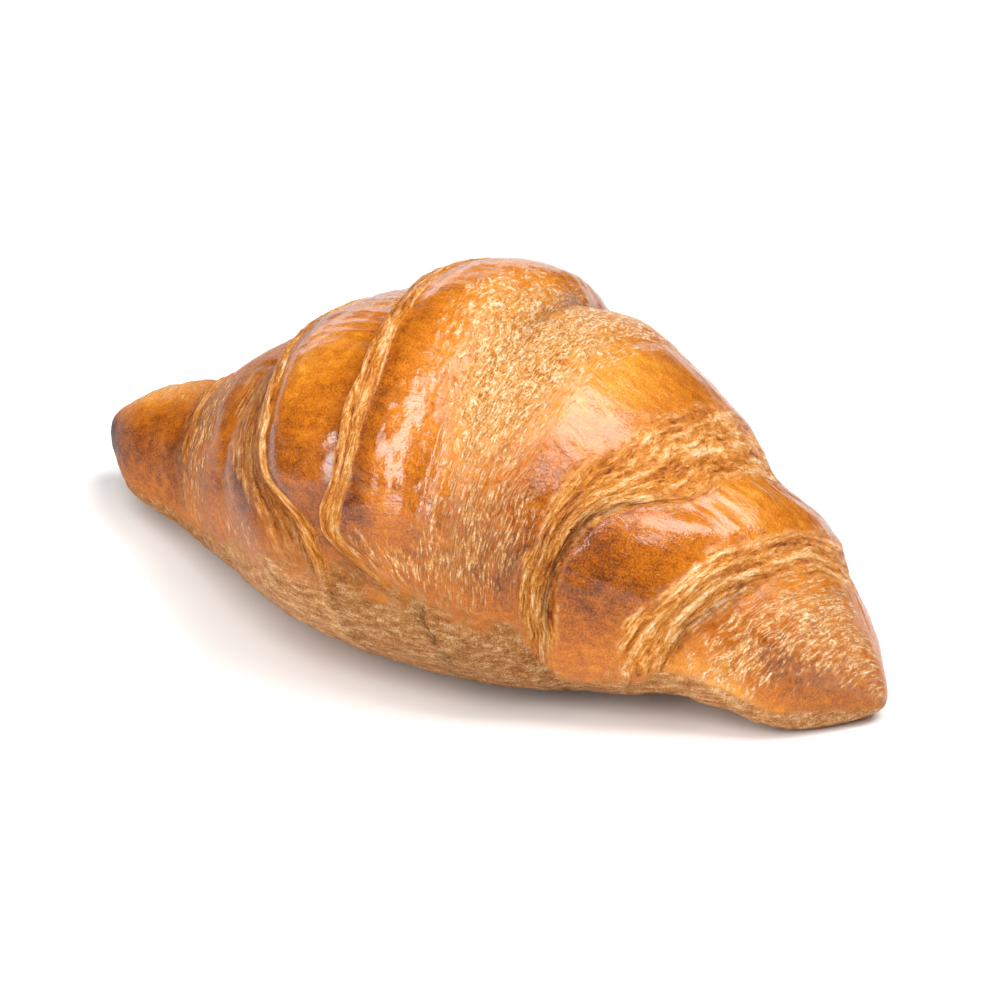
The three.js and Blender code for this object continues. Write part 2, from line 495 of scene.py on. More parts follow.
@dataclass
class CrustGrid:
    """The grid of the crust with its dents and what each place looks like.

    Attributes:
        roll: The dough that the grid covers.
        rim_face: The share of a rim that is its steep face.
        rim_valley: How deep the glazed dough dips behind a rim, in millimetres.
        rim_ridge: How high the layers stand on a rim, in millimetres.
        rim_opened: How far the layers on a rim have opened, from 0 to 1.
        valley_place: Where the valley is, as a share of the rim's width.
        valley_width: How wide the valley is, in millimetres.
        bulge: How far a rim's face bulges out over its undercut, as a share of that.
        follow_reach: How far below a rim the dough is drawn in with it, in millimetres.
        tuck_reach: How far from a crack its sides are drawn in, in millimetres.
        painted_face_shade: How far up a rim's face its painted shade reaches, in millimetres.
        painted_under_shade: How far the painted shade reaches below a rim, in millimetres.
        painted_opened_shade: How much further it reaches where the layers below have opened.
        stair_share: How much of a slope of opened layers is made of steps.
        unevenness: How far the wraps' edges wander, in millimetres.
        depth_unevenness: The share by which a crease's depth varies.
        sharp_depth: How deep a crease has to be for a sharp edge, in millimetres.
        back_opened: How far the slopes of layers have opened where they have no crack.
        back_sharpness: How sharp their crease is there.
        painted_crease_shade: How dark the painted shade in a crease is, from 0 to 1.
        painted_shade_jag: How far its painted line of shade wanders, in millimetres.
        painted_shade_width: How wide the painted line of shade is, in millimetres.
        fold_depth: How deep the fold over the belly is, in millimetres.
        fold_angle: Where the fold is around the roll.
        belly_angle: Where the belly begins around the roll.
        belly_rise: How much higher it begins in the middle, in degrees.
        belly_drop: How much lower it begins under the outermost wrap.
        belly_softness: Half the width of its edge, in degrees.
        tip_gloss: The share of the gloss that the thin tip has.
        side_gloss: The share of the gloss that is left low on the sides.
    """

    roll: DoughRoll
    rim_face: float = 0.3
    rim_valley: float = 0.45
    rim_ridge: float = 0.14
    rim_opened: float = 0.64
    valley_place: float = 1.15
    valley_width: float = 1.3
    bulge: float = 3.4
    follow_reach: float = 3.0
    tuck_reach: float = 1.6
    # How far the painted shade reaches on and below a rim.
    painted_face_shade: float = 0.5
    painted_under_shade: float = 1.8
    painted_opened_shade: float = 4.0
    stair_share: float = 0.6
    unevenness: float = 0.4
    depth_unevenness: float = 0.12
    sharp_depth: float = 2.0
    back_opened: float = 0.62
    back_sharpness: float = 0.15
    # The painted shade along the creases.
    painted_crease_shade: float = 0.85
    painted_shade_jag: float = 0.7
    painted_shade_width: float = 0.7
    fold_depth: float = 0.75
    fold_angle: float = 103.0
    belly_angle: float = 112.0
    belly_rise: float = 10.0
    belly_drop: float = 13.0
    belly_softness: float = 8.0
    tip_gloss: float = 0.05
    side_gloss: float = 0.45

    def __post_init__(self) -> None:
        """Lays out the grid and works out its dents."""
        self.angle = self.roll.angles()
        self.x, self.across = self.roll.rows(self.angle)
        self.turn = np.broadcast_to(self.angle, self.x.shape)
        self.sink = np.zeros_like(self.x)
        self.shift = np.zeros_like(self.x)
        self.layers = np.zeros_like(self.x)
        # Painted shade in the creases and under the rims, from 0 to 1.
        self.crease = np.zeros_like(self.x)
        for number, edge in enumerate(WRAP_EDGES):
            self.dent(edge, number)
        self.fold_belly()
        self.sink -= FLAP.at(self.x, self.turn)

    def waver(self, seed: int, scale: float) -> np.ndarray:
        """A smooth uneven curve around the roll, between about -1 and 1.

        Args:
            seed: Which curve.
            scale: How quickly it wavers.

        Returns:
            Its value at each column.
        """
        draw = np.random.default_rng(seed)
        total = np.zeros_like(self.angle)
        for turns in (3, 5, 8, 13, 21, 34):
            phase = draw.uniform(0, 2 * math.pi)
            total += np.sin(np.radians(self.angle) * round(turns * scale) + phase) / turns ** 0.5
        return total / 1.6

    def dent(self, edge: WrapEdge, number: int) -> None:
        """Works out and adds the dent of one edge of the wraps.

        Args:
            edge: The edge.
            number: Its place in the list.
        """
        crease = around(self.angle, edge.at) + self.unevenness * self.waver(number, 1.6)
        above = (self.x - crease) * edge.upper_side
        depth = np.maximum(around(self.angle, edge.depth), 0)
        depth = depth * (1 + self.depth_unevenness * self.waver(number + DEPTH_SEED, 2))
        strength = (np.clip(depth / self.sharp_depth, 0, 1)
                    * smoothstep(*SHARP_EDGES_END, np.abs(self.angle)))
        slope = np.clip(1 + above / edge.under, 0, 1) ** CREASE_FALLOFF
        dent = Dent(edge, number, above, around(self.angle, edge.over), depth, strength, slope)
        if edge.kind is EdgeKind.RIM:
            self.dent_rim(dent)
        elif edge.kind is EdgeKind.OPEN_LAYERS:
            self.dent_layers(dent)
        else:
            lip = (1 - np.clip(above / dent.width, 0, 1)) ** 2.2
            self.press(dent, lip, slope, strength)

    def press(self, dent: Dent, lip: np.ndarray, slope: np.ndarray,
              strength: np.ndarray) -> None:
        """Presses a crease into the dough, with a jagged line of painted shade where it is deep.

        Args:
            dent: The crease's dent.
            lip: How far the dough above the crease has sunk, from 0 to 1.
            slope: The same below it.
            strength: How sharp the crease is, from 0 to 1.
        """
        self.sink += dent.depth * np.where(dent.above > 0, lip, slope)
        # A jagged line of painted shade along the deep part of the crease.
        deep = self.painted_crease_shade * strength * smoothstep(*PAINTED_SHADE_DEPTHS, dent.depth)
        jagged = np.abs(dent.above + self.painted_shade_jag * self.waver(dent.number + CRACK_SEED, 4))
        self.crease = np.maximum(self.crease, deep * np.exp(-jagged / self.painted_shade_width))

    def dent_layers(self, dent: Dent) -> None:
        """Adds a slope of opened layers in small steps, over a crack on the bulging side.

        Args:
            dent: The slope's dent.
        """
        edge, number, above = dent.edge, dent.number, dent.above
        crack = smoothstep(*CRACK_START, self.angle) * smoothstep(*CRACK_END, self.angle)
        t = np.clip(above / dent.width, 0, 1)
        phase = t * edge.layers + 0.5 * self.waver(number + LAYER_SEED, 2) * np.sin(t * math.pi)
        whole = np.floor(phase)
        step = (whole + smoothstep(*STEP_RISE, phase - whole)) / edge.layers
        t = np.clip(t + (step - t) * self.stair_share, 0, 1)
        lip = (1 - t) ** 1.5 * crack + smoothstep(1, 0, t) * (1 - crack)
        slope = dent.slope * crack + smoothstep(-edge.under, 0, above) * (1 - crack)
        top = above / dent.width + 0.2 * self.waver(number + FADE_SEED, 3)
        opened = self.back_opened + (1 - self.back_opened) * crack
        on_slope = smoothstep(*SLOPE_TOP, top) * smoothstep(*SLOPE_FOOT, above) * opened
        self.layers = np.maximum(self.layers, on_slope * np.clip(dent.depth / 1.2, 0, 1))
        tuck = np.clip(1 - np.abs(above) / self.tuck_reach, 0, 1) ** 2 * crack
        self.shift += edge.upper_side * edge.undercut * dent.strength * tuck
        sharpness = self.back_sharpness + (1 - self.back_sharpness) * crack
        self.press(dent, lip, slope, dent.strength * sharpness)

    def dent_rim(self, dent: Dent) -> None:
        """Adds a rim: a steep face over the crease, a ledge of layers and a valley behind it.

        Args:
            dent: The rim's dent.
        """
        edge, number, above, strength = dent.edge, dent.number, dent.above, dent.strength
        share = above / dent.width
        face = np.clip(above / (dent.width * self.rim_face), 0, 1)
        ledge = np.clip((share - self.rim_face) / (1 - self.rim_face), 0, 1)
        ridges = np.sin(ledge * math.pi * (edge.layers - 1)
                        + 0.8 * self.waver(number + LAYER_SEED, 2))
        self.sink += dent.depth * np.where(above > 0, (1 - face) ** 1.25, dent.slope)
        self.sink += self.rim_ridge * strength * ridges * (ledge > 0) * (ledge < 1)
        behind = (above - dent.width * self.valley_place) / self.valley_width
        self.sink += self.rim_valley * strength * np.exp(-behind ** 2)
        tuck = (1 - face) ** 3 - self.bulge * face * (1 - face) ** 1.5
        follow = np.clip(1 + above / self.follow_reach, 0, 1) ** 2
        uneven = 1 + 0.3 * self.waver(number + TUCK_SEED, 2)
        self.shift += edge.undercut * strength * uneven * np.where(above > 0, tuck, follow)
        top = share + 0.08 * self.waver(number + FADE_SEED, 3)
        on_rim = smoothstep(*RIM_FOOT, above) * smoothstep(*RIM_TOP, top)
        self.layers = np.maximum(
            self.layers, self.rim_opened * on_rim * np.clip(dent.depth / 1.5, 0, 1))
        if edge.open_under:
            opened = smoothstep(*OPENED_BELOW, -above / edge.under) * (above < 0)
            fade = smoothstep(*OPEN_UNDER_START, self.turn) * smoothstep(*OPEN_UNDER_END, self.turn)
            self.layers = np.maximum(self.layers, edge.open_under * opened * fade * strength)
        # Painted shade on the rim's face and below it, reaching further where the layers below have
        # opened.
        below = self.painted_under_shade + self.painted_opened_shade * edge.open_under
        dark = np.where(above > 0, np.exp(-above / self.painted_face_shade), np.exp(above / below))
        self.crease = np.maximum(self.crease, strength * dark)

    def fold_belly(self) -> None:
        """Adds the soft fold where the wraps meet the belly, on both sides."""
        for side, start, end in ((1, -8, 40), (-1, -20, 44)):
            middle = (start + end) / 2
            height = side * (self.fold_angle + 0.12 * (self.x - middle))
            inside = smoothstep(start, start + 8, self.x) * smoothstep(end, end - 6, self.x)
            off = (self.turn - height + 1.5 * self.waver(FOLD_SEED, 2)) / 2.6
            self.sink += self.fold_depth * np.exp(-off ** 2) * inside

    def belly(self) -> np.ndarray:
        """Finds the pale, matt belly that faced the tray.

        Returns:
            How much of each place is belly, from 0 to 1.
        """
        rise = self.belly_rise * smoothstep(-45, -15, self.x) * smoothstep(38, 30, self.x)
        drop = self.belly_drop * smoothstep(33, 37, self.x) * smoothstep(53, 48, self.x)
        uneven = 3 * self.waver(BELLY_SEED, 3) + 2 * np.sin(self.x / 2.3)
        beyond = np.abs(self.turn) - (self.belly_angle - rise + drop) + uneven
        return smoothstep(-self.belly_softness, self.belly_softness, beyond)

    def gloss(self) -> np.ndarray:
        """The share of the egg wash's gloss at each place: little on the thin tip and low down."""
        along = self.tip_gloss + (1 - self.tip_gloss) * smoothstep(-50, -12, self.x)
        return along * (1 - (1 - self.side_gloss) * smoothstep(*GLOSS_END, np.abs(self.turn)))

    def looks(self) -> dict[str, np.ndarray]:
        """What each place looks like.

        Returns:
            Values for every point of the grid by attribute name: from 0 to 1, but browning
            from -1 to 1 and across in millimetres.
        """
        belly = self.belly()
        glaze = (1 - belly) * (1 - self.layers)
        stretch = np.clip(sum(patch.at(self.x, self.turn) for patch in STRETCHED), 0, 1)
        browning = sum(patch.at(self.x, self.turn) for patch in BROWNING)
        return {
            "across": np.broadcast_to(self.across[:, None], self.x.shape),
            "layers": self.layers * (1 - 0.7 * belly),
            # How much painted shade lies in the creases and under the rims.
            "crease": np.clip(self.crease, 0, 1),
            "stretch": stretch * glaze,
            "belly": belly,
            "glaze": glaze,
            "gloss": self.gloss(),
            "browning": np.clip(browning, -1, 1),
        }

    def points(self) -> np.ndarray:
        """The grid's points in millimetres, rows first."""
        return self.roll.place(self.x + self.shift * self.roll.tip_rounding(self.x),
                               self.turn, self.sink)

    def mesh(self, low: Vector, high: Vector) -> bpy.types.Mesh:
        """Makes the closed mesh, in metres, set in the middle of the CAD solid's box.

        Args:
            low: The box's lowest corner.
            high: Its highest corner.

        Returns:
            The mesh, with the looks as attributes.
        """
        points = self.points()
        rows, columns = points.shape[:2]
        tips = [points[0].mean(axis=0), points[-1].mean(axis=0)]
        tips[0][0], tips[1][0] = -self.roll.half_length, self.roll.half_length
        flat = np.concatenate([points.reshape(-1, 3), np.array(tips)]) * MM
        middle = (flat.max(axis=0) + flat.min(axis=0)) / 2
        target = (low + high) / 2
        flat[:, 0] += target.x - middle[0]
        flat[:, 1] += target.y - middle[1]
        flat[:, 2] += low.z - flat[:, 2].min()
        row, column = np.meshgrid(np.arange(rows - 1), np.arange(columns), indexing="ij")
        here = row * columns + column
        beside = row * columns + (column + 1) % columns
        quads = np.stack([here, beside, beside + columns, here + columns], axis=-1).reshape(-1, 4)
        first, last = rows * columns, rows * columns + 1
        end = (rows - 1) * columns
        fans = [(first, (c + 1) % columns, c) for c in range(columns)]
        fans += [(last, end + c, end + (c + 1) % columns) for c in range(columns)]
        mesh = bpy.data.meshes.new(NODE)
        mesh.from_pydata(flat.tolist(), [], quads.tolist() + fans)
        for name, values in self.looks().items():
            ends = [values[0].mean(), values[-1].mean()]
            attribute = mesh.attributes.new(name, "FLOAT", "POINT")
            attribute.data.foreach_set("value", np.concatenate([values.ravel(), ends]))
        mesh.shade_smooth()
        return mesh


MATH = "ShaderNodeMath"
MIX = "ShaderNodeMix"
NOISE = "ShaderNodeTexNoise"
RAMP = "ShaderNodeValToRGB"
RANGE = "ShaderNodeMapRange"
VECTOR = "ShaderNodeVectorMath"
COMBINE = "ShaderNodeCombineXYZ"


# Colours of the dough, from the darkest or the palest of a pattern to its other end.
BAKED_SKIN = ((0.0, "E8A84C"), (0.20, "D88A28"), (0.40, "C26E12"), (0.58, "A65809"),
              (0.76, "7C3C08"), (1.0, "3C1A04"))
OPENED_LAYERS = ((0.0, "6E2E04"), (0.25, "B2600F"), (0.50, "D6882E"), (0.72, "EEB26C"),
                 (1.0, "FFE6BC"))
STRETCHED_DOUGH = ((0.0, "7A3604"), (0.25, "B66412"), (0.50, "DA9240"), (0.72, "F0BE7C"),
                   (1.0, "FFEED2"))
BELLY_DOUGH = ((0.0, "7E3E10"), (0.3, "A4642A"), (0.58, "C08446"), (1.0, "E8BE88"))
# The colour of the painted shade in the creases and under the rims.
PAINTED_CREASE_SHADE = "7A380C"

# How much of each pattern there is in the browning, in each kind of dough and in its relief.
BROWNED_PARTS = (("patches", 0.14), ("crumbs", 0.18), ("grain", 0.38), ("wrinkles", 0.14))
OPENED_PARTS = (("lines", 0.42), ("fibres", 0.24), ("hairs", 0.22), ("grain", 0.12))
STRETCHED_PARTS = (("fibres", 0.3), ("hairs", 0.4), ("grain", 0.3))
BELLY_PARTS = (("pills", 0.5), ("crumbs", 0.15), ("grain", 0.35))
CRACKLE_PARTS = (("lines", 0.3), ("fibres", 0.3), ("hairs", 0.2), ("pills", 0.25))


@dataclass(frozen=True)
class CrustFinish:
    """Egg-washed laminated dough crust: a thin glossy skin of baked egg over browned dough.

    The egg wash gives a sharp clear gloss on the wraps, broken by fine wrinkles. The opened
    layers, the stretched dough and the belly had no wash, so they are matt and crackled, and
    the butter in them turned them golden. Sizes and heights are in millimetres. Real layers,
    threads and crumbs are finer, and are drawn as coarse as they need to be to show.

    Attributes:
        name: The material's name.
        ior: Refraction of baked dough and butter.
        specular: Strength of the dough's own reflections, under the egg wash.
        subsurface: How much light goes through the dough's surface.
        subsurface_depth: How deep it goes.
        coat_ior: Refraction of the dried egg wash.
        coat_roughness: How blurred the egg wash's reflections are.
        layer_spacing: Distance between the layers of dough.
        fibre_width: Width of the fibres of stretched dough.
        fibre_slowness: How much slower the fibres change along a wrap than across it.
        hair_width: Width of the finest threads.
        warp_size: Distance over which the layers and fibres bend.
        wrinkle_size: Distance between the wrinkles of the egg wash.
        patch_size: Distance between the patches of browner dough.
        crumb_size: Distance between the crumbs.
        grain_size: Size of the finest crumbs.
        pill_size: Distance between the lumps of the belly.
        crack_width: Share of the wrinkles' pattern that is a crack in the egg wash.
        crack_height: Depth of the cracks.
        wrinkle_height: Height of the wrinkles.
        grain_height: Height of the finest crumbs under the egg wash.
    """

    name: str = "egg_washed_laminated_dough_crust"
    ior: float = 1.42
    specular: float = 0.15
    subsurface: float = 0.04
    subsurface_depth: float = 1.5
    coat_ior: float = 1.6
    coat_roughness: float = 0.06
    layer_spacing: float = 0.9
    fibre_width: float = 0.42
    fibre_slowness: float = 0.2
    hair_width: float = 0.28
    warp_size: float = 5.0
    wrinkle_size: float = 1.2
    patch_size: float = 8.0
    crumb_size: float = 2.4
    grain_size: float = 0.35
    pill_size: float = 1.1
    crack_width: float = 0.12
    crack_height: float = 0.014
    wrinkle_height: float = 0.024
    grain_height: float = 0.008

    def make(self) -> bpy.types.Material:
        """Builds the material.

        Returns:
            The material.
        """
        material = bpy.data.materials.new(self.name)
        material.use_nodes = True
        material.node_tree.nodes.clear()
        CrustNodes(self, material.node_tree).shader()
        return material


class CrustNodes:
    """The nodes of the crust's material.

    Attributes:
        finish: The finish that they make.
        add: Adds a node to the material's tree.
        looks: The crust's attributes by name.
        at: The values of the patterns by name, from 0 to 1.
        masks: Where the opened layers, the stretched dough and the belly are, from 0 to 1.
        rugged: Where there is no egg wash, from 0 to 1.
    """

    def __init__(self, finish: CrustFinish, tree: bpy.types.NodeTree) -> None:
        """Adds the patterns and the masks.

        Args:
            finish: The finish to make.
            tree: The empty node tree of the material.
        """
        self.finish = finish
        self.add = partial(add_node, tree)
        names = ("across", "gloss", "layers", "stretch", "belly", "crease", "browning")
        self.looks = {name: self.add("ShaderNodeAttribute", attribute_name=name, out=2)
                      for name in names}
        self.at = self.patterns()
        self.masks = self.unglazed()
        rugged = self.add(MATH, self.masks["layers"], self.masks["stretch"], operation="MAXIMUM")
        self.rugged = self.add(MATH, rugged, self.masks["belly"], operation="MAXIMUM")

    def patterns(self) -> Sockets:
        """Adds the patterns of the dough.

        Returns:
            Each pattern's value by its name.
        """
        add, finish = self.add, self.finish
        place = add("ShaderNodeTexCoord", out=3)
        apart = add("ShaderNodeSeparateXYZ", place).node.outputs
        along_wrap = add(COMBINE, add(MATH, self.looks["across"], MM, operation="MULTIPLY"),
                         add(MATH, apart["Y"], finish.fibre_slowness, operation="MULTIPLY"),
                         add(MATH, apart["Z"], finish.fibre_slowness, operation="MULTIPLY"))
        warp = add(NOISE, place, None, 1 / (finish.warp_size * MM), 2, 0.5, out=1)
        warp = add(VECTOR, warp, (1.6 * MM, 0.6 * MM, 0.6 * MM), operation="MULTIPLY")
        line_place = add(VECTOR, along_wrap, (1.0, 0.5, 0.5), operation="MULTIPLY")
        fibre_place = add(VECTOR, along_wrap, warp, operation="ADD")
        hair_place = add(VECTOR, fibre_place, (1.0, 1.5, 1.5), operation="MULTIPLY")
        along_roll = add(VECTOR, place, (0.3, 1.0, 1.0), operation="MULTIPLY")
        # What each pattern follows, the distance between its lumps, its detail and roughness.
        sources = {
            "lines": (line_place, finish.layer_spacing, 3, 0.6),
            "fibres": (fibre_place, finish.fibre_width, 3, 0.6),
            "hairs": (hair_place, finish.hair_width, 3, 0.7),
            "wrinkles": (along_roll, finish.wrinkle_size, 2, 0.5),
            "patches": (place, finish.patch_size, 4, 0.6),
            "crumbs": (place, finish.crumb_size, 4, 0.65),
            "grain": (place, finish.grain_size, 2, 0.8),
            "pills": (along_roll, finish.pill_size, 4, 0.75),
        }
        return {
            name: add(RANGE, add(NOISE, follows, None, 1 / (size * MM), detail, rough), 0.3, 0.7)
            for name, (follows, size, detail, rough) in sources.items()}

    def unglazed(self) -> Sockets:
        """Adds the masks of the unglazed dough, whose edges the crumbs and fibres break.

        Returns:
            The mask of each kind of unglazed dough.
        """
        add, looks = self.add, self.looks
        broken = add(MATH, self.at["crumbs"], 0.5, -0.25, operation="MULTIPLY_ADD")
        torn = add(MATH, self.at["fibres"], 1.1, -0.55, operation="MULTIPLY_ADD")
        torn = add(MATH, torn, broken, operation="ADD")
        reach = add(RANGE, looks["stretch"], 0.0, 0.25)
        stretch = add(MATH, torn, reach, looks["stretch"], operation="MULTIPLY_ADD")
        edges = {
            "layers": (add(MATH, looks["layers"], broken, operation="ADD"), 0.15, 0.75),
            "stretch": (stretch, 0.1, 0.9),
            "belly": (add(MATH, looks["belly"], broken, operation="ADD"), 0.15, 0.85),
        }
        return {name: add(RANGE, *edge, interpolation_type="SMOOTHSTEP")
                for name, edge in edges.items()}

    def weigh(self, parts: Parts) -> bpy.types.NodeSocket:
        """Adds the nodes that mix patterns.

        Args:
            parts: The patterns' names and shares.

        Returns:
            The mix.
        """
        total = 0.0
        for name, share in parts:
            total = self.add(MATH, self.at[name], share, total, operation="MULTIPLY_ADD")
        return total

    def colour(self) -> bpy.types.NodeSocket:
        """Adds the colours of the browned skin and of each kind of unglazed dough.

        Returns:
            The colour.
        """
        add, browning = self.add, self.looks["browning"]
        brown = add(MATH, browning, 0.55, 0.5, operation="MULTIPLY_ADD")
        for name, amount in BROWNED_PARTS:
            brown = add(MATH, self.at[name], amount, brown, operation="MULTIPLY_ADD")
            brown = add(MATH, brown, amount / 2, operation="SUBTRACT")
        colour = add(RAMP, brown, ramp=BAKED_SKIN)
        for name, parts, ramp in (("stretch", STRETCHED_PARTS, STRETCHED_DOUGH),
                                  ("layers", OPENED_PARTS, OPENED_LAYERS),
                                  ("belly", BELLY_PARTS, BELLY_DOUGH)):
            mixed = add(MATH, browning, -0.08, self.weigh(parts), operation="MULTIPLY_ADD")
            dough = add(RAMP, add(RANGE, mixed, 0.22, 0.78), ramp=ramp)
            colour = add(MIX, named={0: self.masks[name], 6: colour, 7: dough}, out=2,
                         data_type="RGBA")
        # Painted shade: the crease mask darkens the colour in the creases and under the rims.
        shade = add(MATH, self.looks["crease"], 0.85, operation="MULTIPLY")
        return add(MIX, named={0: shade, 6: colour, 7: srgb(PAINTED_CREASE_SHADE)}, out=2,
                   data_type="RGBA", blend_type="MULTIPLY")

    def egg_wash(self) -> bpy.types.NodeSocket:
        """Adds the nodes that tell how thick the egg wash lies.

        Returns:
            The weight of the glossy coat.
        """
        washed = 1.0
        for name, lost in (("belly", -0.2), ("layers", -0.55), ("stretch", -0.2)):
            washed = self.add(MATH, self.masks[name], lost, washed, operation="MULTIPLY_ADD")
        gloss = self.add(MATH, self.at["crumbs"], 0.3, 0.65, operation="MULTIPLY_ADD")
        gloss = self.add(MATH, gloss, washed, operation="MULTIPLY")
        return self.add(MATH, gloss, self.looks["gloss"], operation="MULTIPLY")

    def relief(self) -> bpy.types.NodeSocket:
        """Adds the relief: a wrinkled, cracked skin, and crackle where there is no egg wash.

        Returns:
            The height, in millimetres.
        """
        add, finish, wrinkles = self.add, self.finish, self.at["wrinkles"]
        off_crack = add(MATH, wrinkles, 0.5, operation="SUBTRACT")
        off_crack = add(MATH, off_crack, operation="ABSOLUTE")
        off_crack = add(RANGE, off_crack, 0.0, finish.crack_width)
        skin = add(MATH, off_crack, finish.crack_height, operation="MULTIPLY")
        skin = add(MATH, wrinkles, finish.wrinkle_height, skin, operation="MULTIPLY_ADD")
        skin = add(MATH, self.at["grain"], finish.grain_height, skin, operation="MULTIPLY_ADD")
        crackle = add(MATH, self.weigh(CRACKLE_PARTS), 0.52, operation="SUBTRACT")
        return add(MATH, self.rugged, crackle, skin, operation="MULTIPLY_ADD")

    def shader(self) -> None:
        """Adds the dough's shader with its coat of egg wash."""
        add, finish = self.add, self.finish
        bump = add("ShaderNodeBump", named={"Strength": 1.0, "Distance": MM,
                                            "Height": self.relief()})
        shader = add("ShaderNodeBsdfPrincipled", named={
            "Base Color": self.colour(), "IOR": finish.ior, "Normal": bump,
            "Roughness": add(MATH, self.rugged, 0.15, 0.5, operation="MULTIPLY_ADD"),
            "Specular IOR Level": finish.specular, "Subsurface Weight": finish.subsurface,
            "Subsurface Radius": (1.0, 0.45, 0.2),
            "Subsurface Scale": finish.subsurface_depth * MM,
            "Coat Weight": self.egg_wash(), "Coat Roughness": finish.coat_roughness,
            "Coat IOR": finish.coat_ior, "Coat Normal": bump})
        add("ShaderNodeOutputMaterial", shader)


# The relief's sizes in millimetres, as the names of its inputs.
SIZE_INPUTS = (
    "Lump Size", "Lump Height", "Blister Size", "Blister Height", "Ridge Spacing",
    "Ridge Height", "Thread Spacing", "Thread Height", "Crumb Size", "Crumb Height",
    "Flake Length",
)


